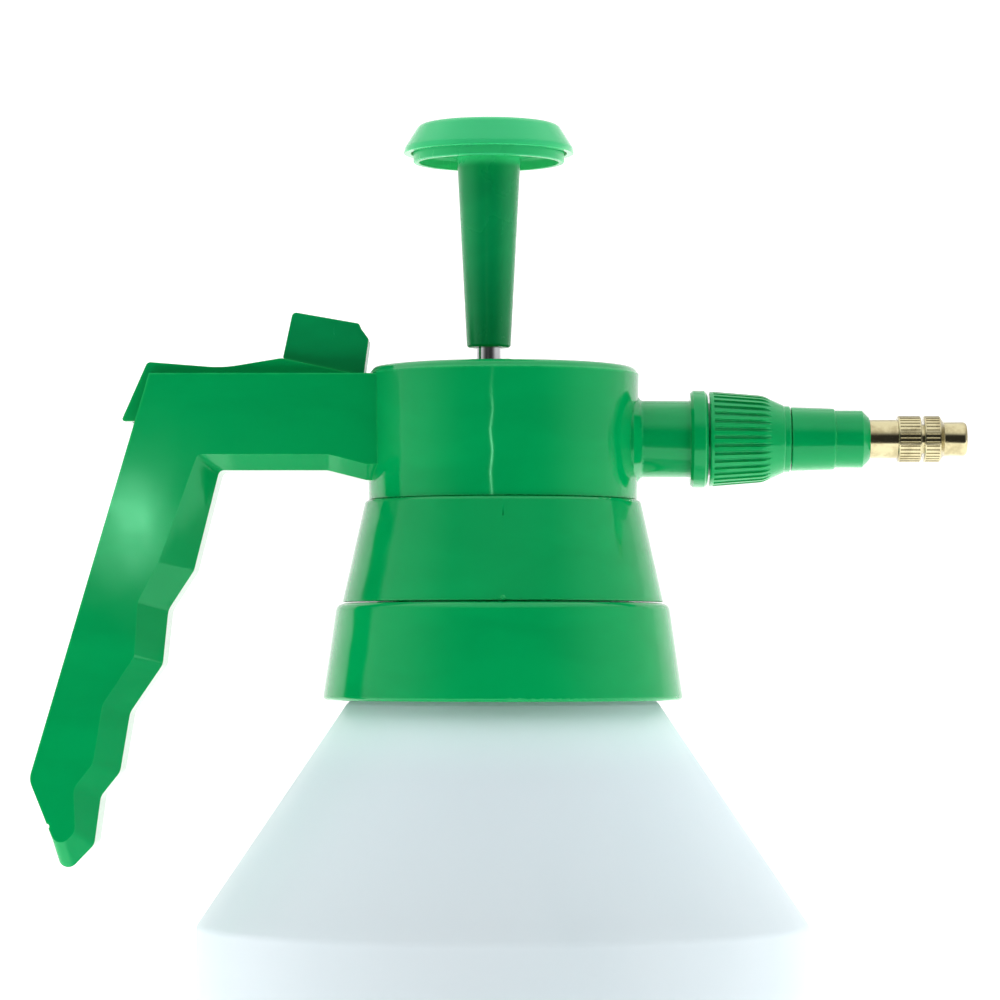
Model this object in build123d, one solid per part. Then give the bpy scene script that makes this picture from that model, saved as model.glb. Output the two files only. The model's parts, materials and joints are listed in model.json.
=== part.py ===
"""Hand pump pressure sprayer: a two litre bottle with a screwed-on spray head.

Millimetres, +Z up. The origin is the centre of the bottle's foot, +X points out of the
nozzle and -X to the handle. Each separate piece goes to its own file in parts/.
"""

import os
from math import atan2, cos, hypot, radians, sin, tan

from build123d import *

# Bottle
BOTTLE_R = 62.5
BOTTLE_WALL = 1.6
SHOULDER_Z = 152.0
CONE_TOP_R = 32.0
CONE_TOP_Z = 197.0
DECK_Z = 198.6
NECK_ROOT_R = 26.2
NECK_THREAD_R = 27.4
NECK_BORE_R = 24.3
NECK_LIP_Z = 210.5
FOOT_R = 52.0
PUSH_UP = 6.0

# Head tiers, from the neck upwards
GASKET_TOP_Z = 212.5
FLANGE_TOP_Z = 214.5
COLLAR_BOTTOM_Z = 197.8
COLLAR_TOP_Z = 217.6
COLLAR_BOTTOM_R = 36.9
COLLAR_TOP_R = 34.0
COLLAR_THREAD_R = 27.5
COLLAR_SKIRT_R = 29.3
SPIGOT_R = 25.6
SKIRT_BOTTOM_Z = 217.8
SKIRT_TOP_Z = 238.7
SKIRT_BOTTOM_R = 32.9
SKIRT_TOP_R = 28.2
HOUSING_TOP_Z = 264.5
HOUSING_BOTTOM_R = 27.5
HOUSING_TOP_R = 27.9
HOUSING_BORE_R = 25.7
SHELL_WALL = 2.0
LID_TOP_Z = 266.4
FIT = 0.02
RUNNING = 0.05

# Screws that hold the head together
PUMP_SCREW_ANGLES = (10, 155, 250)
PUMP_SCREW_CIRCLE = 21.0
HOUSING_SCREW_ANGLES = (-50, 95, 200)
HOUSING_SCREW_CIRCLE = 22.6
SCREW_R = 1.5

# Arm and handle
ARM_HALF_WIDTH = 10.8
ARM_TOP_Z = 264.2
ARM_BOTTOM_Z = 244.6
BEVEL_HALF_WIDTH = 6.8
CHANNEL_HALF_WIDTH = 8.8
CHANNEL_FLOOR_Z = 247.4
BACK_STEP_Z = 254.3

# Hand pump, which stands a little behind the bottle's axis
PUMP_X = -2.9
ROD_R = 2.5
BARREL_R = 13.5
BARREL_BORE_R = 12.0
BARREL_BOTTOM_Z = 165.0
BARREL_FLOOR_Z = 167.0
BARREL_TOP_Z = 262.0
PISTON_BOTTOM_Z = 173.0
PISTON_TOP_Z = 183.0
STEM_BOTTOM_Z = 270.1

# Trigger lever
PIVOT_X = -69.1
PIVOT_Z = 259.3
TRUNNION_R = 2.5
LEVER_HALF_WIDTH = 8.5
LEVER_WALL = 2.0
SLOPE = 12.0
SLOPE_TOP = (-45.0, 267.4)
LOCK_HALF_WIDTH = 6.2
CATCH_HALF_WIDTH = 2.5

# Valve, hoses and dip tube
VALVE_X = -60.0
VALVE_END_X = -54.9
VALVE_TOP_Z = 256.0
VALVE_BORE_R = 2.5
HOSE_R = 2.5
HOSE_BORE_R = 1.6
HOSE_Z = 250.4
HOSE_Y = 4.2
BARB_R = 1.58
DIP_X = 13.5
DIP_Y = 13.5
DIP_R = 3.0
DIP_TURN = (3.0, 20.5)
STRAINER_BOTTOM_Z = 10.0
ELBOW_X = 17.0

# Nozzle, along +X
NOZZLE_Z = 251.3
PIPE_R = 7.9
PIPE_BORE_R = 3.0
PIPE_THREAD_R = 7.4
NUT_BORE_R = 7.5
STEM_R = 3.0
KNURL_R = 4.75
RIB_COUNT = 36


# ---------------------------------------------------------------- shared helpers


def outline(corners):
    """A closed flat face; a corner's third value, where it has one, rounds it off."""
    points = [Vector(c[0], c[1]) for c in corners]
    radii = [c[2] if len(c) > 2 else 0.0 for c in corners]
    count = len(points)
    ends = []
    for i, corner in enumerate(points):
        if radii[i] == 0.0:
            ends.append((corner, None, corner))
            continue
        back = (points[i - 1] - corner).normalized()
        ahead = (points[(i + 1) % count] - corner).normalized()
        half_turn = atan2(abs(back.cross(ahead).Z), back.dot(ahead)) / 2
        reach = radii[i] / tan(half_turn)
        middle = (back + ahead).normalized() * (radii[i] / sin(half_turn) - radii[i])
        ends.append((corner + back * reach, corner + middle, corner + ahead * reach))
    edges = []
    for i, (start, middle, end) in enumerate(ends):
        if middle is not None:
            edges.append(ThreePointArc(start, middle, end))
        edges.append(Line(end, ends[(i + 1) % count][0]))
    return make_face(edges)


def turned(corners):
    """A solid of revolution about Z from an (r, z) outline."""
    return revolve(Plane.XZ * outline(corners), Axis.Z)


def along_x(shape):
    """Lay a shape that was turned about Z along the nozzle's axis: its z becomes x."""
    return Pos(0, 0, NOZZLE_Z) * Rot(0, 90, 0) * shape


def side_plate(corners, half_width):
    """An (x, z) outline as a plate of the given half width about the middle plane."""
    return extrude(Plane.XZ * outline(corners), amount=half_width, both=True)


def block(x0, x1, y0, y1, z0, z1):
    """A box between two opposite corners."""
    return Pos((x0 + x1) / 2, (y0 + y1) / 2, (z0 + z1) / 2) * Box(x1 - x0, y1 - y0, z1 - z0)


def rod(radius, z0, z1):
    """An upright cylinder on the Z axis."""
    return Pos(0, 0, (z0 + z1) / 2) * Cylinder(radius, z1 - z0)


def ring(outer, inner, z0, z1):
    """An upright tube on the Z axis."""
    return rod(outer, z0, z1) - rod(inner, z0, z1)


def around(radius, angle):
    """A place on a circle about the Z axis."""
    return Pos(radius * cos(radians(angle)), radius * sin(radians(angle)), 0)


def o_ring(centre_r, wire_r, z):
    """A rubber ring lying flat at height z."""
    return Pos(0, 0, z) * Torus(centre_r, wire_r)


def drilled(radius, start, end):
    """A straight round bar between two points, used for bores and for barbs."""
    direction = Vector(*end) - Vector(*start)
    plane = Plane(origin=start, z_dir=direction)
    return extrude(plane * Circle(radius), amount=direction.length)


# ---------------------------------------------------------------- bottle


def bottle():
    """Blow-moulded tank: foot ring with a push-up, straight wall, cone and neck."""
    outside = [
        (0, PUSH_UP),
        (FOOT_R - 10, PUSH_UP, 8),
        (FOOT_R - 4, 0, 2),
        (BOTTLE_R, 0, 8),
        (BOTTLE_R, SHOULDER_Z, 2.5),
        (CONE_TOP_R, CONE_TOP_Z, 2),
        (CONE_TOP_R - 1.8, DECK_Z, 0.6),
        (NECK_ROOT_R, DECK_Z, 0.8),
        (NECK_ROOT_R, DECK_Z + 2.4),
        (NECK_THREAD_R, DECK_Z + 3.0),
        (NECK_THREAD_R, NECK_LIP_Z - 3.0),
        (NECK_ROOT_R, NECK_LIP_Z - 2.4),
        (NECK_ROOT_R, NECK_LIP_Z, 0.5),
        (NECK_BORE_R, NECK_LIP_Z, 0.5),
        (NECK_BORE_R, DECK_Z - BOTTLE_WALL - 0.6, 2),
        (CONE_TOP_R - 4.0, DECK_Z - BOTTLE_WALL - 2.0, 2),
        (BOTTLE_R - BOTTLE_WALL, SHOULDER_Z - 0.8, 2),
        (BOTTLE_R - BOTTLE_WALL, BOTTLE_WALL, 6.5),
        (FOOT_R - 3.4, BOTTLE_WALL, 2),
        (FOOT_R - 9.4, PUSH_UP + BOTTLE_WALL, 8),
        (0, PUSH_UP + BOTTLE_WALL),
    ]
    return turned(outside)


def neck_gasket():
    """Flat washer between the neck's lip and the pump barrel's flange."""
    return ring(NECK_ROOT_R + 0.8, NECK_BORE_R + 0.1, NECK_LIP_Z, GASKET_TOP_Z)


# ---------------------------------------------------------------- collar and skirt


def screw_collar():
    """Ring nut: a plain outer skirt and a threaded inner skirt under one plate."""
    plate_z = FLANGE_TOP_Z + 0.15
    body = turned(
        [
            (SPIGOT_R + 0.3, plate_z),
            (COLLAR_THREAD_R, plate_z),
            (COLLAR_THREAD_R, COLLAR_BOTTOM_Z + 2.2, 0.5),
            (COLLAR_SKIRT_R, COLLAR_BOTTOM_Z + 2.2, 0.5),
            (COLLAR_SKIRT_R, plate_z, 0.6),
            (COLLAR_TOP_R - SHELL_WALL + 0.3, plate_z, 0.6),
            (COLLAR_BOTTOM_R - SHELL_WALL, COLLAR_BOTTOM_Z),
            (COLLAR_BOTTOM_R, COLLAR_BOTTOM_Z, 0.8),
            (COLLAR_TOP_R, COLLAR_TOP_Z, 1.6),
            (SPIGOT_R + 0.3, COLLAR_TOP_Z),
        ]
    )
    web_count = 12
    webs = [
        Rot(0, 0, i * 360 / web_count)
        * block(COLLAR_SKIRT_R - 0.5, COLLAR_TOP_R - 1.5, -0.6, 0.6, COLLAR_BOTTOM_Z + 5.2, plate_z)
        for i in range(web_count)
    ]
    return body + webs


def head_skirt():
    """Cone tier: top plate, foot plate and the spigot that the collar turns on."""
    plate_z = SKIRT_TOP_Z - 2.2
    body = turned(
        [
            (0, SKIRT_TOP_Z),
            (0, plate_z),
            (SKIRT_TOP_R - 2.0, plate_z, 1),
            (SKIRT_BOTTOM_R - SHELL_WALL - 0.6, SKIRT_BOTTOM_Z + 2.0, 1),
            (SPIGOT_R - 2.0, SKIRT_BOTTOM_Z + 2.0),
            (SPIGOT_R - 2.0, FLANGE_TOP_Z),
            (SPIGOT_R, FLANGE_TOP_Z),
            (SPIGOT_R, SKIRT_BOTTOM_Z),
            (SKIRT_BOTTOM_R, SKIRT_BOTTOM_Z, 0.3),
            (SKIRT_TOP_R, SKIRT_TOP_Z, 0.9),
            (HOUSING_BORE_R - 0.1, SKIRT_TOP_Z),
            (HOUSING_BORE_R - 0.1, SKIRT_TOP_Z + 1.6),
            (HOUSING_BORE_R - 1.8, SKIRT_TOP_Z + 1.6),
            (HOUSING_BORE_R - 1.8, SKIRT_TOP_Z),
        ]
    )
    bosses = [
        around(PUMP_SCREW_CIRCLE, a) * rod(3.2, FLANGE_TOP_Z, SKIRT_TOP_Z - 1)
        for a in PUMP_SCREW_ANGLES
    ]
    boss_bores = [
        around(PUMP_SCREW_CIRCLE, a) * rod(SCREW_R + FIT, FLANGE_TOP_Z, FLANGE_TOP_Z + 14)
        for a in PUMP_SCREW_ANGLES
    ]
    # The housing's own bosses stand on the plate, inside the locating rim.
    boss_seats = [
        around(HOUSING_SCREW_CIRCLE, a) * rod(3.5, SKIRT_TOP_Z, SKIRT_TOP_Z + 2)
        for a in HOUSING_SCREW_ANGLES
    ]
    screw_holes = [
        around(HOUSING_SCREW_CIRCLE, a) * rod(SCREW_R + 0.2, plate_z - 1, SKIRT_TOP_Z + 2)
        for a in HOUSING_SCREW_ANGLES
    ]
    barrel_hole = Pos(PUMP_X, 0, 0) * rod(BARREL_R + 0.1, plate_z - 1, SKIRT_TOP_Z + 1)
    tube_hole = Pos(DIP_X, DIP_Y, 0) * rod(DIP_R + 0.1, plate_z - 1, SKIRT_TOP_Z + 1)
    front_mark = block(-0.15, 0.15, -SKIRT_BOTTOM_R, -SKIRT_TOP_R - 0.6, SKIRT_TOP_Z - 4, SKIRT_TOP_Z)
    front_nub = Pos(0, -SKIRT_BOTTOM_R + 0.25, SKIRT_BOTTOM_Z + 0.6) * Sphere(0.5)
    body = body + bosses - boss_bores - boss_seats - screw_holes
    return body - barrel_hole - tube_hole - front_mark + front_nub


def screws(angles, circle, head_z, tip_z):
    """Three pan-head screws driven from below; the heads hang under head_z."""
    screw = turned(
        [
            (0, head_z - 1.7),
            (2.6, head_z - 1.7, 0.6),
            (2.6, head_z),
            (SCREW_R, head_z),
            (SCREW_R, tip_z - 1.2),
            (0.3, tip_z),
            (0, tip_z),
        ]
    )
    slot = Pos(0, 0, head_z - 1.7) * (Box(3.2, 0.7, 1.6) + Box(0.7, 3.2, 1.6))
    return Compound([around(circle, a) * (screw - slot) for a in angles])


def housing_screws():
    """Screws from the skirt's plate up into the housing."""
    head_z = SKIRT_TOP_Z - 2.2
    return screws(HOUSING_SCREW_ANGLES, HOUSING_SCREW_CIRCLE, head_z, SKIRT_TOP_Z + 6.4)


def pump_screws():
    """Screws from the barrel's flange up into the skirt."""
    return screws(PUMP_SCREW_ANGLES, PUMP_SCREW_CIRCLE, GASKET_TOP_Z, FLANGE_TOP_Z + 13.5)


# ---------------------------------------------------------------- housing

# The handle from its top rear corner down the back, round the tip and up the finger side.
# Each entry is the corner, its rounding, and how far the flat side face stays inside it.
HANDLE = [
    (-71.8, ARM_TOP_Z, 0, 0, 0),
    (-95.8, 181.9, 4, 0, 0),
    (-89.0, 162.3, 2.0, -1.1, 5.5),
    (-82.9, 168.6, 2.5, -3.5, 2.6),
    (-81.6, 178.4, 3, -5.2, 1.7),
    (-77.7, 183.3, 3, -5.2, 1.7),
    (-75.7, 195.4, 4, -5.3, 1.6),
    (-69.1, 205.1, 3, -5.5, 1.6),
    (-68.0, 216.2, 4, -6.0, 1.5),
    (-62.8, 224.2, 3, -7.0, 1.5),
    (-57.7, ARM_BOTTOM_Z, 1.2, -4.2, 3.1),
    (-35.7, ARM_BOTTOM_Z, 4, 0.2, 3.1),
    (-27.8, ARM_BOTTOM_Z - 2.0, 0, 0, 3.1),
    (-24.5, ARM_BOTTOM_Z - 2.0, 0, 0, 3.1),
    (-24.5, ARM_TOP_Z, 0, 0, 0),
]


def arm_and_handle():
    """Arm and pistol grip: flat sides with a broad bevel along the finger side."""
    middle = [(x, z, r) if r else (x, z) for x, z, r, _, _ in HANDLE]
    side = [(x + dx, z + dz, r) if r else (x + dx, z + dz) for x, z, r, dx, dz in HANDLE]
    grip = side_plate(middle, BEVEL_HALF_WIDTH)
    for hand in (-1, 1):
        inner = Pos(0, hand * BEVEL_HALF_WIDTH, 0) * (Plane.XZ * outline(middle))
        outer = Pos(0, hand * ARM_HALF_WIDTH, 0) * (Plane.XZ * outline(side))
        grip += loft([inner, outer], ruled=True)
    return grip


def back_x(z, inset):
    """The x of the handle's straight back at height z, moved in by the given amount."""
    top_x, top_z = HANDLE[0][:2]
    low_x, low_z = HANDLE[1][:2]
    return top_x + (low_x - top_x) * (top_z - z) / (top_z - low_z) + inset


def arm_hollow():
    """The trough for the lever and valve, and the cavity down the handle."""
    above = HOUSING_TOP_Z + 10
    wall = 2.4
    cavity_z = 186.0
    trough_side = [
        (-24.0, above),
        (-90.0, above),
        (-90.0, BACK_STEP_Z),
        (back_x(BACK_STEP_Z, wall), BACK_STEP_Z),
        (back_x(CHANNEL_FLOOR_Z, wall), CHANNEL_FLOOR_Z),
        (-24.0, CHANNEL_FLOOR_Z),
    ]
    half, floor = CHANNEL_HALF_WIDTH, CHANNEL_FLOOR_Z
    section = [
        (-half, above),
        (-half, floor + 2.0),
        (-half + 2.2, floor),
        (half - 2.2, floor),
        (half, floor + 2.0),
        (half, above),
    ]
    trough = extrude(Plane.YZ.offset(-95) * outline(section), amount=80)
    handle_side = [
        (back_x(floor + 3, wall), floor + 3),
        (back_x(cavity_z, wall), cavity_z, 1.5),
        (-85.5, cavity_z, 1.5),
        (-64.6, floor + 3),
    ]
    return (trough & side_plate(trough_side, half)) + side_plate(handle_side, half - 0.4)


def head_housing():
    """Cap tier, arm, handle and nozzle pipe moulded as one shell."""
    tier = turned(
        [
            (0, SKIRT_TOP_Z),
            (HOUSING_BOTTOM_R, SKIRT_TOP_Z, 0.3),
            (HOUSING_TOP_R, HOUSING_TOP_Z),
            (0, HOUSING_TOP_Z),
        ]
    )
    pipe = along_x(
        turned(
            [
                (0, 20),
                (PIPE_R + 2.2, 20),
                (PIPE_R + 2.2, 26.6),
                (PIPE_R, 28.4, 0.8),
                (PIPE_R, 38.3),
                (9.4, 38.3),
                (10.0, 38.9),
                (10.0, 41.2),
                (9.4, 41.8),
                (PIPE_THREAD_R, 41.8),
                (PIPE_THREAD_R, 52.0, 0.5),
                (0, 52.0),
            ]
        )
    )
    body = tier + arm_and_handle() + pipe
    body -= rod(HOUSING_BORE_R, SKIRT_TOP_Z, HOUSING_TOP_Z)
    bosses = [
        around(HOUSING_SCREW_CIRCLE, a) * rod(3.3, SKIRT_TOP_Z, SKIRT_TOP_Z + 7.6)
        for a in HOUSING_SCREW_ANGLES
    ]
    boss_bores = [
        around(HOUSING_SCREW_CIRCLE, a) * rod(SCREW_R + FIT, SKIRT_TOP_Z, SKIRT_TOP_Z + 6.8)
        for a in HOUSING_SCREW_ANGLES
    ]
    body = body + bosses - boss_bores - arm_hollow()
    pipe_bore = drilled(PIPE_BORE_R, (20, 0, NOZZLE_Z), (60, 0, NOZZLE_Z))
    sockets = drilled(TRUNNION_R + RUNNING, (PIVOT_X, -10.1, PIVOT_Z), (PIVOT_X, 10.1, PIVOT_Z))
    # Lock nose and hoses pass from the arm into the cap tier here.
    doorway = block(-30, -24, -7.2, 7.2, CHANNEL_FLOOR_Z, HOUSING_TOP_Z)
    strap_hole = drilled(0.55, (-92.2, -20, 172.4), (-92.2, 20, 172.4))
    return body - pipe_bore - sockets - doorway - strap_hole


def top_cap():
    """Round lid with a low boss for the pump rod; its rim also catches the lock's nose."""
    lid = turned(
        [
            (0, HOUSING_TOP_Z - 2.5),
            (HOUSING_BORE_R - 2.0, HOUSING_TOP_Z - 2.5),
            (HOUSING_BORE_R - 0.3, HOUSING_TOP_Z - 2.5, 0.3),
            (HOUSING_BORE_R - 0.3, HOUSING_TOP_Z),
            (HOUSING_TOP_R, HOUSING_TOP_Z),
            (HOUSING_TOP_R - 1.0, LID_TOP_Z - 0.5, 2.0),
            (23.5, LID_TOP_Z - 0.15, 3),
            (0, LID_TOP_Z),
        ]
    )
    hollow = rod(HOUSING_BORE_R - 2.0, HOUSING_TOP_Z - 3, HOUSING_TOP_Z)
    boss = Pos(PUMP_X, 0, 0) * rod(4.3, HOUSING_TOP_Z, LID_TOP_Z + 0.3)
    rod_hole = Pos(PUMP_X, 0, 0) * rod(ROD_R + 0.4, HOUSING_TOP_Z - 3, LID_TOP_Z + 1)
    # The lock's nose dips in here, and its pocket slides under the short tongue left in the middle.
    half = CATCH_HALF_WIDTH
    nose_relief = block(-30, -22.9, -7.0, 7.0, HOUSING_TOP_Z - 3, LID_TOP_Z + 1)
    nose_relief -= block(-25.45, -22, -half, half, HOUSING_TOP_Z - 2.0, LID_TOP_Z + 2)
    return lid - hollow + boss - rod_hole - nose_relief


# ---------------------------------------------------------------- hand pump


def pump_barrel():
    """Pump cylinder with the flange that hangs it in the neck and a drilled floor."""
    barrel = Pos(PUMP_X, 0, 0) * rod(BARREL_R, BARREL_BOTTOM_Z, BARREL_TOP_Z)
    flange = rod(27.2, GASKET_TOP_Z, FLANGE_TOP_Z)
    bore = Pos(PUMP_X, 0, 0) * rod(BARREL_BORE_R, BARREL_FLOOR_Z, BARREL_TOP_Z)
    air_holes = [
        Pos(PUMP_X, 0, 0) * around(4.2, i * 60) * rod(0.9, BARREL_BOTTOM_Z, BARREL_FLOOR_Z)
        for i in range(6)
    ]
    valve_hole = Pos(PUMP_X, 0, 0) * rod(1.5, BARREL_BOTTOM_Z, BARREL_FLOOR_Z)
    tube_hole = Pos(DIP_X, DIP_Y, 0) * rod(DIP_R + 0.1, GASKET_TOP_Z, FLANGE_TOP_Z)
    screw_holes = [
        around(PUMP_SCREW_CIRCLE, a) * rod(SCREW_R + 0.2, GASKET_TOP_Z, FLANGE_TOP_Z)
        for a in PUMP_SCREW_ANGLES
    ]
    return barrel + flange - bore - air_holes - valve_hole - tube_hole - screw_holes


def check_valve():
    """Rubber umbrella under the barrel's floor; its bulb holds it from above."""
    return Pos(PUMP_X, 0, 0) * turned(
        [
            (0, BARREL_BOTTOM_Z - 1.6),
            (3.0, BARREL_BOTTOM_Z - 1.4),
            (7.0, BARREL_BOTTOM_Z - 0.7, 0.2),
            (7.0, BARREL_BOTTOM_Z),
            (1.45, BARREL_BOTTOM_Z),
            (1.45, BARREL_FLOOR_Z),
            (2.3, BARREL_FLOOR_Z + 0.2),
            (1.2, BARREL_FLOOR_Z + 1.8, 0.5),
            (0, BARREL_FLOOR_Z + 1.8),
        ]
    )


def rod_guide():
    """Bush in the barrel's mouth that guides the rod."""
    return Pos(PUMP_X, 0, 0) * turned(
        [
            (ROD_R + RUNNING, BARREL_TOP_Z - 6),
            (BARREL_BORE_R - FIT, BARREL_TOP_Z - 6, 0.4),
            (BARREL_BORE_R - FIT, BARREL_TOP_Z),
            (BARREL_R - 0.2, BARREL_TOP_Z),
            (BARREL_R - 0.2, BARREL_TOP_Z + 1.4, 0.4),
            (ROD_R + RUNNING, BARREL_TOP_Z + 1.4),
        ]
    )


def pump_rod():
    """Steel rod, turned down at its foot for the piston."""
    return Pos(PUMP_X, 0, 0) * turned(
        [
            (0, PISTON_BOTTOM_Z - 3.6),
            (1.5, PISTON_BOTTOM_Z - 3.6),
            (1.95, PISTON_BOTTOM_Z - 3.1),
            (1.95, PISTON_TOP_Z),
            (ROD_R, PISTON_TOP_Z),
            (ROD_R, 296.0, 0.5),
            (0, 296.0),
        ]
    )


def piston():
    """Piston with one seal groove, bored for the rod's foot."""
    groove_z = (PISTON_BOTTOM_Z + PISTON_TOP_Z) / 2
    return Pos(PUMP_X, 0, 0) * turned(
        [
            (1.95 + FIT, PISTON_BOTTOM_Z),
            (11.6, PISTON_BOTTOM_Z, 0.5),
            (11.6, groove_z - 1.8),
            (8.53, groove_z - 1.8),
            (8.53, groove_z + 1.8),
            (11.6, groove_z + 1.8),
            (11.6, PISTON_TOP_Z, 0.5),
            (1.95 + FIT, PISTON_TOP_Z),
        ]
    )


def piston_seal():
    """Rubber ring in the piston's groove."""
    groove_z = (PISTON_BOTTOM_Z + PISTON_TOP_Z) / 2
    return Pos(PUMP_X, 0, 0) * o_ring(10.25, 1.7, groove_z)


def piston_washer():
    """Steel washer between the piston and its nut."""
    return Pos(PUMP_X, 0, 0) * ring(8.0, 1.97, PISTON_BOTTOM_Z - 0.8, PISTON_BOTTOM_Z)


def piston_nut():
    """Hexagon nut on the rod's foot."""
    prism = extrude(RegularPolygon(3.6, 6, major_radius=False), amount=2.4)
    return Pos(PUMP_X, 0, PISTON_BOTTOM_Z - 3.2) * (prism - Cylinder(1.97, 10))


def pump_handle():
    """Tapered stem under an upturned shallow cup, the lower half of the knob."""
    return Pos(PUMP_X, 0, 0) * turned(
        [
            (0, 296.2),
            (ROD_R + FIT, 296.2),
            (ROD_R + FIT, STEM_BOTTOM_Z),
            (4.5, STEM_BOTTOM_Z, 0.6),
            (6.6, 310.6, 0.5),
            (14.3, 310.6, 0.8),
            (14.3, 308.1, 0.2),
            (15.5, 308.1, 0.4),
            (15.5, 311.8),
            (0, 311.8),
        ]
    )


def knob_cap():
    """Flared cap pressed over the dish."""
    return Pos(PUMP_X, 0, 0) * turned(
        [
            (0, 311.8),
            (15.52, 311.8),
            (15.52, 310.9),
            (16.0, 310.9),
            (16.0, 310.0, 0.2),
            (17.5, 310.0, 0.15),
            (17.3, 311.2, 1.5),
            (14.3, 316.0, 2.0),
            (0, 316.9),
        ]
    )


# ---------------------------------------------------------------- trigger lever and lock


def on_slope():
    """The lever's front slope: local x runs down it to the front, local y stands off it."""
    return Plane(
        origin=(SLOPE_TOP[0], 0, SLOPE_TOP[1]),
        x_dir=(cos(radians(SLOPE)), 0, -sin(radians(SLOPE))),
        z_dir=(0, -1, 0),
    )


def slope_plate(corners, half_width):
    """A plate whose outline is given on the lever's front slope."""
    return extrude(on_slope() * outline(corners), amount=half_width, both=True)


def trigger_lever():
    """Long lever set in between the arm's walls, with its own trunnions at the rear."""
    front_x = -29.8
    body = side_plate(
        [
            (-72.3, 266.6, 1.0),
            (-77.6, 254.5, 0.5),
            (-75.0, 254.5),
            (-74.0, 256.0),
            (-65.8, 256.0, 1.5),
            (-64.2, 260.4, 1.5),
            (-45.0, 261.0),
            (front_x, 261.8),
            (front_x, 264.17, 0.5),
            (*SLOPE_TOP, 3),
            (-57.0, 265.4, 25),
        ],
        LEVER_HALF_WIDTH,
    )
    hollow = side_plate(
        [
            (-71.2, 264.4),
            (-76.0, 253.5),
            (-76.0, 250.0),
            (front_x - LEVER_WALL, 250.0),
            (front_x - LEVER_WALL, 262.35),
            (-45.0, 265.15),
            (-57.0, 263.3),
        ],
        LEVER_HALF_WIDTH - LEVER_WALL,
    )
    trunnions = drilled(TRUNNION_R, (PIVOT_X, -9.9, PIVOT_Z), (PIVOT_X, 9.9, PIVOT_Z))
    gap = block(PIVOT_X - 5, PIVOT_X + 5, -6.5, 6.5, PIVOT_Z - 3.4, PIVOT_Z + 3.4)
    push_rib = block(VALVE_X - 0.8, VALVE_X + 0.8, -6.6, 6.6, 261.6, 264.0)
    push_nose = drilled(0.8, (VALVE_X, -6.6, 261.7), (VALVE_X, 6.6, 261.7))
    slot = slope_plate([(4.9, 1), (4.9, -4), (12.5, -4), (12.5, 1)], 3.1)
    return body - hollow + (trunnions - gap) + push_rib + push_nose - slot


def trigger_lock():
    """Thumb block that slides on the slope, held by a foot under the lever's wall."""
    thumb = slope_plate(
        [
            (0.1, 0.15, 0.3),
            (0.1, 9.8, 0.9),
            (13.8, 10.3, 0.6),
            (14.5, 9.3, 0.4),
            (16.4, 7.6, 0.5),
            (16.9, 0.7, 0.3),
            (16.2, 0.15, 0.3),
        ],
        LOCK_HALF_WIDTH,
    )
    pocket = slope_plate([(12.8, 7.4), (18, 7.4), (18, 12), (12.8, 12)], CATCH_HALF_WIDTH + 0.3)
    stem = slope_plate([(5, 1), (5, -3), (10, -3), (10, 1)], 3.0)
    foot = slope_plate([(4.2, -2.6), (4.2, -3.9), (10.8, -3.9), (10.8, -2.6)], 5.0)
    return thumb - pocket + stem + foot


# ---------------------------------------------------------------- valve and hoses


def valve_body():
    """Valve block in the trough with two hose barbs facing the cap tier."""
    front_x = VALVE_X + 5.0
    body = block(VALVE_X - 4.4, front_x, -6.4, 6.4, CHANNEL_FLOOR_Z, VALVE_TOP_Z)
    bore = Pos(VALVE_X, 0, 0) * rod(VALVE_BORE_R, CHANNEL_FLOOR_Z + 0.6, VALVE_TOP_Z)
    cross_bore = drilled(0.8, (VALVE_X, -HOSE_Y - 0.6, 251.2), (VALVE_X, HOSE_Y + 0.6, 251.2))
    body = body - bore - cross_bore
    for y in (-HOSE_Y, HOSE_Y):
        body += drilled(BARB_R, (front_x, y, HOSE_Z), (front_x + 6, y, HOSE_Z))
        body -= drilled(1.0, (VALVE_X, y, HOSE_Z), (front_x + 7, y, HOSE_Z))
    return body


def valve_plunger():
    """Spool: its waist comes level with the cross bore when the lever is pressed."""
    return Pos(VALVE_X, 0, 0) * turned(
        [
            (0, 250.1),
            (2.45, 250.1, 0.2),
            (2.45, 252.3),
            (1.4, 252.3),
            (1.4, 254.3),
            (2.45, 254.3),
            (2.45, 254.5),
            (1.42, 254.5),
            (1.42, 255.6),
            (2.45, 255.6),
            (2.45, 255.8),
            (1.6, 255.8),
            (1.6, 259.9),
            (3.5, 259.9, 0.2),
            (3.5, 260.7, 0.4),
            (0, 260.7),
        ]
    )


def valve_seal():
    """Rubber ring in the plunger's upper groove."""
    return Pos(VALVE_X, 0, 0) * o_ring(1.95, 0.5, 255.05)


def valve_spring():
    """Return spring between the valve block and the plunger's head."""
    wire_r = 0.22
    coil_r = 2.95
    height = 3.9 - 2 * wire_r - 0.02
    path = Helix(pitch=height / 4, height=height, radius=coil_r)
    wire = sweep(Plane(origin=path @ 0, z_dir=path % 0) * Circle(wire_r), path)
    return Pos(VALVE_X, 0, VALVE_TOP_Z + wire_r + 0.01) * wire


def hose(points):
    """A hose laid level along a route with rounded bends."""
    bend_r = 6.0
    route = FilletPolyline(*[(x, y, HOSE_Z) for x, y in points], radius=bend_r)
    section = Circle(HOSE_R) - Circle(HOSE_BORE_R)
    return sweep(Plane(origin=route @ 0, z_dir=route % 0) * section, route)


def dip_barb(distance):
    """A point on the dip elbow's barb, the given distance from the tube's axis."""
    dx, dy = DIP_TURN[0] - DIP_X, DIP_TURN[1] - DIP_Y
    share = distance / hypot(dx, dy)
    return (DIP_X + dx * share, DIP_Y + dy * share)


def inlet_hose():
    """Hose from the dip tube's elbow round the barrel to the valve."""
    return hose([dip_barb(4.8), DIP_TURN, (-13.0, 18.3), (-21.5, HOSE_Y), (VALVE_END_X, HOSE_Y)])


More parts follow.
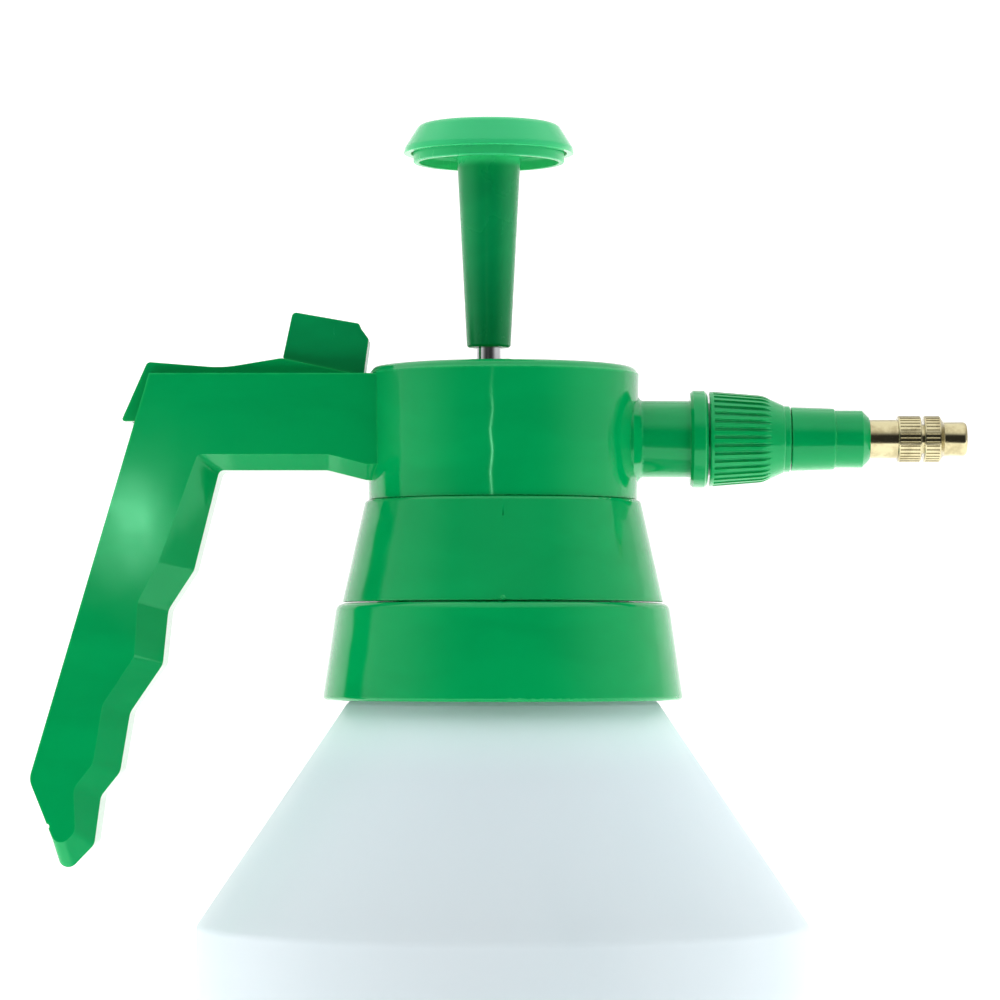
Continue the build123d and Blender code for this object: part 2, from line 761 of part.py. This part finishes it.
def outlet_hose():
    """Hose from the valve round the barrel's other side to the nozzle's elbow."""
    return hose(
        [
            (ELBOW_X, -4.1),
            (ELBOW_X, -12.8),
            (3.0, -20.5),
            (-13.0, -18.3),
            (-21.5, -HOSE_Y),
            (VALVE_END_X, -HOSE_Y),
        ]
    )


def dip_elbow():
    """Elbow that stands on the skirt's plate over the dip tube."""
    body = rod(4.6, SKIRT_TOP_Z, 253.2)
    body -= rod(DIP_R + FIT, SKIRT_TOP_Z, SKIRT_TOP_Z + 7)
    body -= rod(1.2, SKIRT_TOP_Z, HOSE_Z + 0.8)
    body = Pos(DIP_X, DIP_Y, 0) * body
    body += drilled(BARB_R, (*dip_barb(4.0), HOSE_Z), (*dip_barb(9.2), HOSE_Z))
    return body - drilled(1.0, (*dip_barb(0), HOSE_Z), (*dip_barb(10), HOSE_Z))


def outlet_elbow():
    """Elbow plugged into the back of the nozzle pipe, its barb to one side."""
    body = drilled(3.7, (ELBOW_X - 3.6, 0, NOZZLE_Z), (23.6, 0, NOZZLE_Z))
    body += drilled(PIPE_BORE_R - FIT, (23.6, 0, NOZZLE_Z), (31, 0, NOZZLE_Z))
    body += drilled(BARB_R, (ELBOW_X, -3.0, HOSE_Z), (ELBOW_X, -9.0, HOSE_Z))
    body -= drilled(1.2, (ELBOW_X, 0, NOZZLE_Z), (32, 0, NOZZLE_Z))
    return body - drilled(1.0, (ELBOW_X, 0, HOSE_Z), (ELBOW_X, -10, HOSE_Z))


def dip_tube():
    """Suction tube from the elbow to just above the bottle's floor."""
    tube = ring(DIP_R, DIP_R - 1.0, STRAINER_BOTTOM_Z + 8, SKIRT_TOP_Z + 6.8)
    return Pos(DIP_X, DIP_Y, 0) * tube


def strainer():
    """Slotted cup on the tube's foot."""
    z0 = STRAINER_BOTTOM_Z
    cup = turned([(0, z0), (5, z0, 0.8), (5, z0 + 11, 0.8), (4.2, z0 + 15, 0.4), (0, z0 + 15)])
    cup -= rod(DIP_R + FIT, z0 + 8, z0 + 15)
    cup -= rod(3.9, z0 + 1.2, z0 + 7)
    cup -= rod(2.0, z0 + 1.2, z0 + 9)
    slot_count = 10
    slots = [
        Rot(0, 0, i * 360 / slot_count) * block(3, 6, -0.4, 0.4, z0 + 1.8, z0 + 6.4)
        for i in range(slot_count)
    ]
    return Pos(DIP_X, DIP_Y, 0) * (cup - slots)


# ---------------------------------------------------------------- nozzle


def ribbed(shape, radius, z0, z1, count, depth):
    """Cut lengthwise grooves round a turned part, leaving rounded ribs between them."""
    groove_r = depth * 0.9
    grooves = [
        Rot(0, 0, i * 360 / count) * (Pos(radius + groove_r - depth, 0, 0) * rod(groove_r, z0, z1))
        for i in range(count)
    ]
    return shape - grooves


def nozzle_nut():
    """Ribbed union nut that holds the nozzle on the pipe."""
    body = turned(
        [
            (NUT_BORE_R, 42.2),
            (9.8, 42.2, 0.4),
            (8.9, 53.2, 5),
            (7.0, 57.4, 0.6),
            (6.8, 57.6),
            (6.8, 58.8, 0.3),
            (5.3, 58.8),
            (5.3, 54.7),
            (NUT_BORE_R, 54.7),
        ]
    )
    groove = Pos(9.16, 0, 49.6) * Rot(0, -5.2, 0) * Cylinder(0.5, 13.2)
    grooves = [Rot(0, 0, i * 360 / RIB_COUNT) * groove for i in range(RIB_COUNT)]
    return along_x(body - grooves)


def nozzle_washer():
    """Rubber washer between the pipe's end and the brass stem's flange."""
    return along_x(ring(6.8, PIPE_BORE_R, 52.0, 53.0))


def brass_stem():
    """Brass tube through the nozzle with a flange held inside the nut."""
    return along_x(
        turned(
            [
                (1.2, 53.0),
                (6.9, 53.0),
                (6.9, 54.6),
                (STEM_R, 54.6),
                (STEM_R, 89.0, 0.2),
                (1.2, 89.0),
            ]
        )
    )


def nozzle_body():
    """Stepped green sleeve on the stem."""
    return along_x(
        turned(
            [
                (STEM_R + FIT, 54.7),
                (5.2, 54.7),
                (5.2, 59.0),
                (6.6, 59.0, 0.3),
                (6.3, 67.9, 0.4),
                (5.9, 68.0),
                (5.9, 73.6),
                (4.4, 75.1, 0.3),
                (STEM_R + FIT, 75.1),
            ]
        )
    )


def lock_nut():
    """Brass sleeve with a knurled ring that clamps the green body on the stem."""
    body = turned(
        [
            (STEM_R + FIT, 75.2),
            (4.0, 75.2),
            (4.0, 80.8),
            (KNURL_R, 80.9, 0.2),
            (KNURL_R, 85.6, 0.2),
            (STEM_R + FIT, 85.6),
        ]
    )
    return along_x(ribbed(body, KNURL_R, 81.2, 85.3, RIB_COUNT, 0.22))


def nozzle_tip():
    """Adjustable brass tip: turning it opens the swirl gap behind the spray hole."""
    body = turned(
        [
            (STEM_R + RUNNING, 86.2),
            (KNURL_R, 86.2, 0.2),
            (KNURL_R, 89.5),
            (3.7, 90.2),
            (3.5, 90.4),
            (3.5, 95.1, 0.8),
            (0.5, 95.1),
            (0.5, 94.0),
            (1.8, 91.6),
            (STEM_R + RUNNING, 91.0),
            (STEM_R + RUNNING, 88.3),
            (4.1, 88.3),
            (4.1, 87.2),
            (STEM_R + RUNNING, 87.2),
        ]
    )
    return along_x(ribbed(body, KNURL_R, 86.5, 89.3, RIB_COUNT, 0.22))


def tip_seal():
    """Small rubber ring in the tip's groove, sealing on the stem."""
    return along_x(o_ring(3.55, 0.5, 87.75))


PIECES = [
    bottle,
    neck_gasket,
    screw_collar,
    head_skirt,
    head_housing,
    top_cap,
    housing_screws,
    pump_screws,
    pump_barrel,
    check_valve,
    rod_guide,
    pump_rod,
    piston,
    piston_seal,
    piston_washer,
    piston_nut,
    pump_handle,
    knob_cap,
    trigger_lever,
    trigger_lock,
    valve_body,
    valve_plunger,
    valve_seal,
    valve_spring,
    inlet_hose,
    outlet_hose,
    dip_elbow,
    outlet_elbow,
    dip_tube,
    strainer,
    nozzle_nut,
    nozzle_washer,
    brass_stem,
    nozzle_body,
    lock_nut,
    tip_seal,
    nozzle_tip,
]

os.makedirs("parts", exist_ok=True)
for make in PIECES:
    export_step(make(), f"parts/{make.__name__}.step")
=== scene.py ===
"""Looks of the hand pump sprayer: materials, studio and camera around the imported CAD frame.

Metres, +Z up, +X towards the nozzle. The camera stands on the -Y side.
"""

import json
from math import cos, pi, radians, sin

import bpy
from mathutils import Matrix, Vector


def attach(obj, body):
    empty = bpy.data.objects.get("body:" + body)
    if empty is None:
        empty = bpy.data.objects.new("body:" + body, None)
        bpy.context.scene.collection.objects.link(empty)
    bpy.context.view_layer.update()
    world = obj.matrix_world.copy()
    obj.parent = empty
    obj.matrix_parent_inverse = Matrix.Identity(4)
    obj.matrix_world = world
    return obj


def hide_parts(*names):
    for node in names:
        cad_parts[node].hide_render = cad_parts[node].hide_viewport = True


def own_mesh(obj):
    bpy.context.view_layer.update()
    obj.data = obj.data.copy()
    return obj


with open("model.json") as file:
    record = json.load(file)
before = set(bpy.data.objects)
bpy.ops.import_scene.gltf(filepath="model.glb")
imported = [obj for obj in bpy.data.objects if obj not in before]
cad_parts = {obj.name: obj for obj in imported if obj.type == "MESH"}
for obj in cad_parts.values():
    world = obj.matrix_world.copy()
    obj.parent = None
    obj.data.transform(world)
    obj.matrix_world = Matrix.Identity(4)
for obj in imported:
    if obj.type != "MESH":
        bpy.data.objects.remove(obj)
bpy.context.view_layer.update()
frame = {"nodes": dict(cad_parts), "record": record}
NODES = frame["nodes"]

MM = 0.001

# Colours are linear RGB
GREEN = (0.0, 0.345, 0.090)
GREEN_DEEP = (0.0, 0.300, 0.077)
GREEN_EDGE = (0.020, 0.480, 0.130)
# Painted shade: a darker copy of the green for the dark_green_plastic parts, the knob's stem and the
# thumb block, which lie in shade.
STEM_GREEN_SHADED = (0.0, 0.285, 0.080)
STEM_GREEN_SHADED_DEEP = (0.0, 0.240, 0.068)
STEM_GREEN_SHADED_EDGE = (0.010, 0.350, 0.100)
GREEN_GLINT = (0.35, 1.0, 0.60)
GREEN_PALE = (0.035, 0.53, 0.19)
MILK = (0.68, 0.80, 0.86)
MILK_THICK = (0.64, 0.77, 0.83)
COLLAR_GLOW = (0.56, 0.86, 0.76)
BRASS = (0.47, 0.42, 0.25)
BRASS_TARNISH = (0.31, 0.26, 0.14)
BRASS_BRIGHT = (0.64, 0.59, 0.42)
STEEL = (0.56, 0.57, 0.58)
STEEL_DULL = (0.40, 0.41, 0.42)

# Heights and places on the object
CUP_Z = 307.8 * MM
GLOW_LOW_Z, GLOW_HIGH_Z = 182 * MM, 198 * MM
GLOW_TINT_LOW_Z, GLOW_TINT_HIGH_Z = 180 * MM, 197 * MM
SEAM_HALF_WIDTH = 0.35 * MM

# Shading of the CAD meshes
WELD_DISTANCE = 0.001 * MM
CREASE_ANGLE = radians(23)
# Cosine of the angle between the rounded and the true normal
EDGE_BEND, OPEN_SURFACE = 0.75, 0.998

# The valve's return spring
SPRING_X = -60.0 * MM
SPRING_LOW_Z, SPRING_HIGH_Z = 256.0 * MM, 259.9 * MM
SPRING_WIRE_R, SPRING_COIL_R = 0.22 * MM, 2.95 * MM
SPRING_TURNS = 4

# Studio; the ramps give where the surroundings turn from dark to bright, and how bright
DARK_LEVEL = 0.05
AROUND_RAMP = (-0.95, -0.25, 0.90)
ABOVE_RAMP = (0.30, 0.80, 1.65)
FLOOR_GLOW, WALL_GLOW = 1.25, 0.45
FLOOR_END_Y, WALL_START_Y = 0.3, 1.2
LAMP_PLACE, LAMP_TARGET = (-0.157, -0.94, 0.262), (-0.04, 0.0, 0.25)
LAMP_SIZE, LAMP_POWER = (0.017, 0.034), 0.035

CAMERA_PLACE, CAMERA_TARGET = (-0.0006, -0.871, 0.207), (-0.0006, 0.0, 0.2388)
CAMERA_LENS, CAMERA_SENSOR = 153.0, 36.0


def placed(name, data):
    """A new object in the scene."""
    made = bpy.data.objects.new(name, data)
    bpy.context.scene.collection.objects.link(made)
    return made


# ---------------------------------------------------------------- node helpers


class Shader:
    """A Principled material with short calls for the textures that feed it."""

    def __init__(self, name):
        self.material = bpy.data.materials.new(name)
        self.material.use_nodes = True
        self.tree = self.material.node_tree
        self.bsdf = self.tree.nodes["Principled BSDF"]
        coordinates = self.add("ShaderNodeTexCoord")
        self.place = coordinates.outputs["Object"]

    def add(self, kind, **settings):
        """A new node with some of its properties set."""
        node = self.tree.nodes.new(kind)
        for key, value in settings.items():
            setattr(node, key, value)
        return node

    def feed(self, socket, value):
        """Link a socket to another one, or give it a plain value."""
        if isinstance(value, bpy.types.NodeSocket):
            self.tree.links.new(value, socket)
        else:
            socket.default_value = value

    def set(self, **values):
        """Set the shader's own sockets; an underscore in a name stands for a space."""
        for name, value in values.items():
            if isinstance(value, tuple) and name.endswith(("Color", "Tint")):
                value = (*value, 1.0)
            self.feed(self.bsdf.inputs[name.replace("_", " ")], value)

    def stretched(self, scale):
        """Object coordinates scaled by a different amount along each axis."""
        node = self.add("ShaderNodeMapping")
        self.feed(node.inputs["Vector"], self.place)
        node.inputs["Scale"].default_value = scale
        return node.outputs["Vector"]

    def noise(self, scale, detail=3.0, roughness=0.5, vector=None, distortion=0.0):
        """Soft random pattern from 0 to 1; scale is in cycles per metre."""
        node = self.add("ShaderNodeTexNoise")
        self.feed(node.inputs["Vector"], vector or self.place)
        node.inputs["Scale"].default_value = scale
        node.inputs["Detail"].default_value = detail
        node.inputs["Roughness"].default_value = roughness
        node.inputs["Distortion"].default_value = distortion
        return node.outputs["Fac"]

    def ranged(self, value, low, high, to_low=0.0, to_high=1.0):
        """Map a value from one range to another, clamped and smooth."""
        node = self.add("ShaderNodeMapRange", interpolation_type="SMOOTHSTEP")
        self.feed(node.inputs["Value"], value)
        node.inputs["From Min"].default_value = low
        node.inputs["From Max"].default_value = high
        node.inputs["To Min"].default_value = to_low
        node.inputs["To Max"].default_value = to_high
        return node.outputs["Result"]

    def maths(self, operation, first, second=0.0):
        """One arithmetic step."""
        node = self.add("ShaderNodeMath", operation=operation)
        self.feed(node.inputs[0], first)
        self.feed(node.inputs[1], second)
        return node.outputs["Value"]

    def mixed(self, share, first, second):
        """Blend of two colours."""
        node = self.add("ShaderNodeMix", data_type="RGBA")
        self.feed(node.inputs["Factor"], share)
        for socket, colour in ((node.inputs[6], first), (node.inputs[7], second)):
            self.feed(socket, (*colour, 1.0) if isinstance(colour, tuple) else colour)
        return node.outputs[2]

    def bump(self, height, depth, under=None):
        """Relief of the given depth in metres, laid over another relief if there is one."""
        node = self.add("ShaderNodeBump")
        self.feed(node.inputs["Height"], height)
        node.inputs["Distance"].default_value = depth
        node.inputs["Strength"].default_value = 1.0
        if under is not None:
            self.feed(node.inputs["Normal"], under)
        return node.outputs["Normal"]

    def edges(self, radius):
        """1 on edges and corners, 0 on open surfaces."""
        rounded = self.add("ShaderNodeBevel", samples=6)
        rounded.inputs["Radius"].default_value = radius
        true_normal = self.add("ShaderNodeNewGeometry").outputs["Normal"]
        dot = self.add("ShaderNodeVectorMath", operation="DOT_PRODUCT")
        self.feed(dot.inputs[0], rounded.outputs["Normal"])
        self.feed(dot.inputs[1], true_normal)
        return self.ranged(dot.outputs["Value"], EDGE_BEND, OPEN_SURFACE, 1.0, 0.0)

    def axis(self, letter):
        """One object coordinate."""
        node = self.add("ShaderNodeSeparateXYZ")
        self.feed(node.inputs["Vector"], self.place)
        return node.outputs[letter]


# ---------------------------------------------------------------- materials


def moulded_green(name, colour, deep, edge, gloss):
    """Injection-moulded polypropylene: flow marks, fine orange peel, scuffs, and edges painted paler as
    a painted highlight, broken up like wear.
    """
    s = Shader(name)
    flow = s.noise(28, detail=4, vector=s.stretched((1.0, 1.0, 2.4)), distortion=0.6)
    cloud = s.noise(9, detail=2)
    base = s.mixed(s.ranged(flow, 0.35, 0.7), colour, deep)
    base = s.mixed(s.ranged(cloud, 0.4, 0.75, 0.0, 0.35), base, deep)
    # Light comes through the knob's thin wall and makes it paler.
    base = s.mixed(s.ranged(s.axis("Z"), CUP_Z - 1.0 * MM, CUP_Z + 1.0 * MM), base, GREEN_PALE)
    # Painted highlight: edges are painted paler as if lit, and a wear-like noise breaks the band up.
    edge_sheen_and_wear = s.maths("MULTIPLY", s.edges(0.9 * MM), s.ranged(s.noise(220, detail=4), 0.3, 0.6, 0.35, 1.0))
    base = s.mixed(s.maths("MULTIPLY", edge_sheen_and_wear, 0.75), base, edge)
    brushed = s.noise(900, detail=6, roughness=0.7, vector=s.stretched((1.0, 1.0, 0.12)))
    scuff = s.ranged(brushed, 0.60, 0.78, 0.0, 0.06)
    rough = s.ranged(s.noise(60, detail=5), 0.3, 0.7, gloss - 0.02, gloss + 0.03)
    grain = s.noise(5200, detail=2)
    peel = s.noise(420, detail=2)
    relief = s.bump(peel, 0.0006 * MM)
    relief = s.bump(brushed, 0.0012 * MM, under=relief)
    relief = s.bump(grain, 0.0008 * MM, under=relief)
    s.set(
        Base_Color=base,
        Roughness=s.maths("ADD", rough, scuff),
        IOR=1.49,
        Specular_Tint=GREEN_GLINT,
        Subsurface_Weight=0.12,
        Subsurface_Radius=(0.2, 1.0, 0.35),
        Subsurface_Scale=2.2 * MM,
        Normal=relief,
    )
    return s.material


def blown_bottle():
    """Milky blow-moulded polyethylene: waxy, slightly uneven wall, mould line and scuffs."""
    s = Shader("milky_bottle")
    wall = s.noise(16, detail=3, vector=s.stretched((1.0, 1.0, 0.45)))
    base = s.mixed(s.ranged(wall, 0.35, 0.7), MILK, MILK_THICK)
    # Painted light: the green collar's colour glowing through the top of the cone is painted into the
    # base colour.
    base = s.mixed(s.ranged(s.axis("Z"), GLOW_TINT_LOW_Z, GLOW_TINT_HIGH_Z, 0.0, 0.35), base, COLLAR_GLOW)
    rough = s.ranged(s.noise(75, detail=5), 0.3, 0.7, 0.36, 0.46)
    hairline = s.noise(1400, detail=6, roughness=0.7, vector=s.stretched((1.0, 1.0, 0.08)))
    hairline = s.ranged(hairline, 0.6, 0.78, 0.0, 0.10)
    waves = s.noise(34, detail=2, vector=s.stretched((1.0, 1.0, 0.5)))
    grain = s.noise(2600, detail=3)
    # The mould's two halves met in the plane y = 0.
    seam = s.ranged(s.maths("ABSOLUTE", s.axis("Y")), 0.0, SEAM_HALF_WIDTH, 1.0, 0.0)
    relief = s.bump(waves, 0.10 * MM)
    relief = s.bump(seam, 0.05 * MM, under=relief)
    relief = s.bump(grain, 0.006 * MM, under=relief)
    s.set(
        Base_Color=base,
        Roughness=s.maths("ADD", rough, hairline),
        IOR=1.5,
        Specular_IOR_Level=0.25,
        Subsurface_Weight=0.5,
        Subsurface_Radius=(0.9, 1.0, 1.0),
        Subsurface_Scale=9.0 * MM,
        # Painted glow: a faint emission near the collar stands in for green light passing through the
        # wall.
        Emission_Color=COLLAR_GLOW,
        Emission_Strength=s.ranged(s.axis("Z"), GLOW_LOW_Z, GLOW_HIGH_Z, 0.0, 0.16),
        Normal=relief,
    )
    return s.material


def turned_metal(name, colour, dull, bright, roughness, lathe_axis):
    """Turned metal: lathe lines across its axis, tarnish in random patches, polished edges."""
    s = Shader(name)
    tarnish = s.ranged(s.noise(260, detail=6, roughness=0.62), 0.42, 0.66)
    base = s.mixed(s.maths("MULTIPLY", tarnish, 0.75), colour, dull)
    base = s.mixed(s.maths("MULTIPLY", s.edges(0.25 * MM), 0.6), base, bright)
    lines = {"X": (9000.0, 60.0, 60.0), "Z": (60.0, 60.0, 9000.0)}[lathe_axis]
    cut = s.noise(1.0, detail=4, vector=s.stretched(lines))
    rough = s.ranged(tarnish, 0.0, 1.0, roughness, roughness + 0.10)
    relief = s.bump(cut, 0.0015 * MM)
    relief = s.bump(s.noise(1500, detail=3), 0.003 * MM, under=relief)
    s.set(Base_Color=base, Metallic=1.0, Roughness=rough, Normal=relief)
    return s.material


def drawn_steel():
    """Bright drawn rod with lengthwise lines and an oily film."""
    s = Shader("drawn_steel")
    lines = s.noise(1.0, detail=5, vector=s.stretched((6000.0, 6000.0, 90.0)))
    film = s.ranged(s.noise(180, detail=4), 0.4, 0.7)
    s.set(
        Base_Color=s.mixed(film, STEEL, STEEL_DULL),
        Metallic=1.0,
        Roughness=s.ranged(lines, 0.3, 0.7, 0.10, 0.18),
        Normal=s.bump(lines, 0.0015 * MM),
    )
    return s.material


def soft_black(name, roughness):
    """Rubber and dark nylon: dusty, fine-grained, a little paler where it is rubbed."""
    s = Shader(name)
    dust = s.ranged(s.noise(160, detail=6), 0.45, 0.75)
    base = s.mixed(dust, (0.018, 0.018, 0.019), (0.045, 0.044, 0.042))
    base = s.mixed(s.maths("MULTIPLY", s.edges(0.3 * MM), 0.5), base, (0.08, 0.08, 0.08))
    s.set(
        Base_Color=base,
        Roughness=s.ranged(dust, 0.0, 1.0, roughness, roughness + 0.15),
        Normal=s.bump(s.noise(3500, detail=3), 0.01 * MM),
    )
    return s.material


def natural_plastic(name, colour, thick, roughness):
    """Undyed polypropylene or vinyl: cloudy, waxy, with faint drawing lines."""
    s = Shader(name)
    cloud = s.ranged(s.noise(70, detail=4), 0.35, 0.7)
    lines = s.noise(1.0, detail=3, vector=s.stretched((900.0, 900.0, 120.0)))
    s.set(
        Base_Color=s.mixed(cloud, colour, thick),
        Roughness=s.ranged(lines, 0.3, 0.7, roughness, roughness + 0.1),
        Subsurface_Weight=0.4,
        Subsurface_Radius=(0.9, 1.0, 1.0),
        Subsurface_Scale=2.0 * MM,
        Normal=s.bump(lines, 0.01 * MM),
    )
    return s.material


LOOKS = {
    "green_plastic": moulded_green("moulded_green", GREEN, GREEN_DEEP, GREEN_EDGE, 0.08),
    # Painted shade: the same moulded green made darker for the stem and the thumb block.
    "dark_green_plastic": moulded_green(
        "moulded_green_shaded", STEM_GREEN_SHADED, STEM_GREEN_SHADED_DEEP, STEM_GREEN_SHADED_EDGE, 0.26
    ),
    "bottle_plastic": blown_bottle(),
    "brass": turned_metal("aged_brass", BRASS, BRASS_TARNISH, BRASS_BRIGHT, 0.12, "X"),
    "steel": drawn_steel(),
    "rubber": soft_black("black_rubber", 0.62),
    "black_plastic": soft_black("black_nylon", 0.42),
    "clear_plastic": natural_plastic("natural_plastic", (0.74, 0.78, 0.77), (0.62, 0.68, 0.66), 0.34),
    "hose_plastic": natural_plastic("clear_vinyl", (0.78, 0.82, 0.80), (0.68, 0.74, 0.70), 0.24),
}


def crisp_edges():
    """Geometry nodes that weld a CAD mesh, smooth its curves and keep its edges sharp."""
    group = bpy.data.node_groups.new("crisp_edges", "GeometryNodeTree")
    group.is_modifier = True
    for direction in ("INPUT", "OUTPUT"):
        group.interface.new_socket("Geometry", in_out=direction, socket_type="NodeSocketGeometry")
    start = group.nodes.new("NodeGroupInput")
    end = group.nodes.new("NodeGroupOutput")
    weld = group.nodes.new("GeometryNodeMergeByDistance")
    weld.inputs["Distance"].default_value = WELD_DISTANCE
    smooth_faces = group.nodes.new("GeometryNodeSetShadeSmooth")
    smooth_faces.domain = "FACE"
    smooth_faces.inputs["Shade Smooth"].default_value = True
    sharp_edges = group.nodes.new("GeometryNodeSetShadeSmooth")
    sharp_edges.domain = "EDGE"
    sharp_edges.inputs["Shade Smooth"].default_value = False
    angle = group.nodes.new("GeometryNodeInputMeshEdgeAngle")
    creased = group.nodes.new("FunctionNodeCompare")
    creased.data_type = "FLOAT"
    creased.operation = "GREATER_THAN"
    creased.inputs["B"].default_value = CREASE_ANGLE
    link = group.links.new
    link(start.outputs["Geometry"], weld.inputs["Geometry"])
    link(weld.outputs["Geometry"], smooth_faces.inputs["Geometry"])
    link(smooth_faces.outputs["Geometry"], sharp_edges.inputs["Geometry"])
    link(angle.outputs["Unsigned Angle"], creased.inputs["A"])
    link(creased.outputs["Result"], sharp_edges.inputs["Selection"])
    link(sharp_edges.outputs["Geometry"], end.inputs["Geometry"])
    return group


def dress_nodes():
    """Give every CAD node its look and shading that is smooth but keeps its edges."""
    slot_of = {part["node"]: part["material_slot"] for part in frame["record"]["subparts"]}
    shading = crisp_edges()
    for name, node in NODES.items():
        node.data.materials.clear()
        node.data.materials.append(LOOKS[slot_of[name]])
        node.modifiers.new("crisp_edges", "NODES").node_group = shading
        node.modifiers.new("even_faces", "WEIGHTED_NORMAL").keep_sharp = True


# ---------------------------------------------------------------- valve spring


def coil_mesh(steps_per_turn=28, wire_sides=10):
    """Round wire wound as a helix between the spring's two ends, with closed ends."""
    low, high = SPRING_LOW_Z + SPRING_WIRE_R, SPRING_HIGH_Z - SPRING_WIRE_R
    steps = SPRING_TURNS * steps_per_turn
    vertices = []
    for i in range(steps + 1):
        turn = 2 * pi * i / steps_per_turn
        height = low + (high - low) * i / steps
        for j in range(wire_sides):
            side = 2 * pi * j / wire_sides
            reach = SPRING_COIL_R + SPRING_WIRE_R * cos(side)
            rise = SPRING_WIRE_R * sin(side)
            vertices.append((SPRING_X + reach * cos(turn), reach * sin(turn), height + rise))
    faces = []
    for i in range(steps):
        for j in range(wire_sides):
            here = i * wire_sides + j
            beside = i * wire_sides + (j + 1) % wire_sides
            faces.append((here, beside, beside + wire_sides, here + wire_sides))
    faces.append(tuple(reversed(range(wire_sides))))
    faces.append(tuple(range(steps * wire_sides, (steps + 1) * wire_sides)))
    mesh = bpy.data.meshes.new("return_spring")
    mesh.from_pydata(vertices, [], faces)
    mesh.shade_smooth()
    return mesh


def valve_spring():
    """The valve's return spring, wound again as a fixed coil between its two ends in place of the CAD
    spring.
    """
    mesh = coil_mesh()
    mesh.materials.append(LOOKS["steel"])
    spring = placed("return_spring", mesh)
    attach(spring, "head")
    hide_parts("valve_spring")
    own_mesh(spring)


# ---------------------------------------------------------------- studio and camera


def studio_sweep():
    """A pale sweep: flat under the object, curved up behind it."""
    half_width, front, back, height, bend = 3.0, -0.45, 2.2, 3.0, 0.9
    steps = 24
    profile = [(front, 0.0)]
    for i in range(steps + 1):
        turn = radians(90) * i / steps
        profile.append((back - bend + bend * sin(turn), bend - bend * cos(turn)))
    profile.append((back, height))
    vertices = [(x, y, z) for y, z in profile for x in (-half_width, half_width)]
    faces = [(2 * i, 2 * i + 1, 2 * i + 3, 2 * i + 2) for i in range(len(profile) - 1)]
    mesh = bpy.data.meshes.new("studio_sweep")
    mesh.from_pydata(vertices, [], faces)
    for polygon in mesh.polygons:
        polygon.use_smooth = True
    sweep = placed("studio_sweep", mesh)
    s = Shader("studio_paper")
    s.set(
        Base_Color=s.mixed(s.noise(3, detail=2), (0.80, 0.80, 0.79), (0.83, 0.83, 0.825)),
        Roughness=0.9,
        Emission_Color=(1.0, 1.0, 1.0),
        Emission_Strength=s.ranged(s.axis("Y"), FLOOR_END_Y, WALL_START_Y, FLOOR_GLOW, WALL_GLOW),
    )
    mesh.materials.append(s.material)


def soft_light(name, place, target, size, power):
    """A rectangular studio light aimed at a point."""
    data = bpy.data.lights.new(name, "AREA")
    data.shape = "RECTANGLE"
    data.size, data.size_y = size
    data.energy = power
    light = placed(name, data)
    light.location = place
    aim = Vector(target) - Vector(place)
    light.rotation_euler = aim.to_track_quat("-Z", "Y").to_euler()


def surroundings():
    """White studio all round, dark only level behind the camera, where the photographer stands."""
    world = bpy.data.worlds.new("studio")
    bpy.context.scene.world = world
    world.use_nodes = True
    nodes, links = world.node_tree.nodes, world.node_tree.links
    direction = nodes.new("ShaderNodeTexCoord").outputs["Generated"]
    parts = nodes.new("ShaderNodeSeparateXYZ")
    links.new(direction, parts.inputs["Vector"])
    height = nodes.new("ShaderNodeMath")
    height.operation = "ABSOLUTE"
    links.new(parts.outputs["Z"], height.inputs[0])
    brighter = nodes.new("ShaderNodeMath")
    brighter.operation = "MAXIMUM"
    ramps = ((parts.outputs["Y"], AROUND_RAMP), (height.outputs["Value"], ABOVE_RAMP))
    for i, (source, (dark_end, bright_end, strength)) in enumerate(ramps):
        shade = nodes.new("ShaderNodeMapRange")
        shade.interpolation_type = "SMOOTHSTEP"
        links.new(source, shade.inputs["Value"])
        shade.inputs["From Min"].default_value = dark_end
        shade.inputs["From Max"].default_value = bright_end
        shade.inputs["To Min"].default_value = DARK_LEVEL
        shade.inputs["To Max"].default_value = strength
        links.new(shade.outputs["Result"], brighter.inputs[i])
    links.new(brighter.outputs["Value"], nodes["Background"].inputs["Strength"])
    nodes["Background"].inputs["Color"].default_value = (1.0, 1.0, 1.0, 1.0)


def studio_lights():
    """One small lamp beside the camera for the crisp highlights; the rest is the white tent."""
    soft_light("key_lamp", LAMP_PLACE, LAMP_TARGET, LAMP_SIZE, LAMP_POWER)


def camera():
    """Level with the bottle's collar and looking slightly up, as the photographer stood."""
    data = bpy.data.cameras.new("camera")
    data.sensor_width = CAMERA_SENSOR
    data.lens = CAMERA_LENS
    view = placed("camera", data)
    view.location = CAMERA_PLACE
    aim = Vector(CAMERA_TARGET) - view.location
    view.rotation_euler = aim.to_track_quat("-Z", "Y").to_euler()
    bpy.context.scene.camera = view


dress_nodes()
valve_spring()
studio_sweep()
surroundings()
studio_lights()
camera()
bpy.context.scene.view_settings.view_transform = "Standard"
